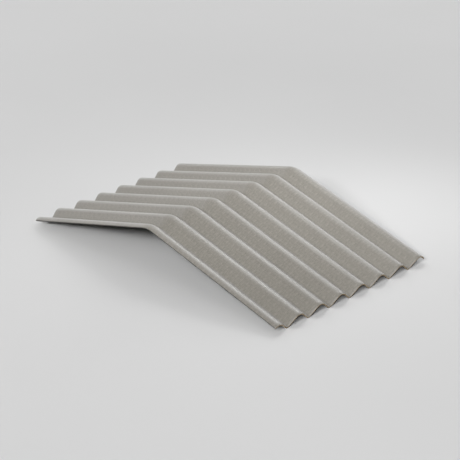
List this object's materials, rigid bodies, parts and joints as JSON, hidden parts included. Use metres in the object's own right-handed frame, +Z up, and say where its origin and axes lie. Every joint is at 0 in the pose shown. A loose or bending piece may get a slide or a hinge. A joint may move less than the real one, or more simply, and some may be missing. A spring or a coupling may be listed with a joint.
{
  "type": "roof ridge cap",
  "caption": "Corrugated fibre-cement ridge cap: one waved sheet bent over the ridge, with a low crest along one side for the next cap to lap over.",
  "frame": {"origin": "under the middle of the ridge, on the floor that both eaves stand on", "axes": "+X along the ridge, from the underlap edge to the overlap edge; +Y across the ridge, down the back wing; +Z up"},
  "size_m": [1.086, 1.7386, 0.2793],
  "materials": {
    "fibre_cement": "matt warm grey fibre cement with a fine felt imprint, browner on the cut edges"
  },
  "bodies": {
    "root": {"ridge_cap": "fibre_cement"}
  },
  "joints": []
}
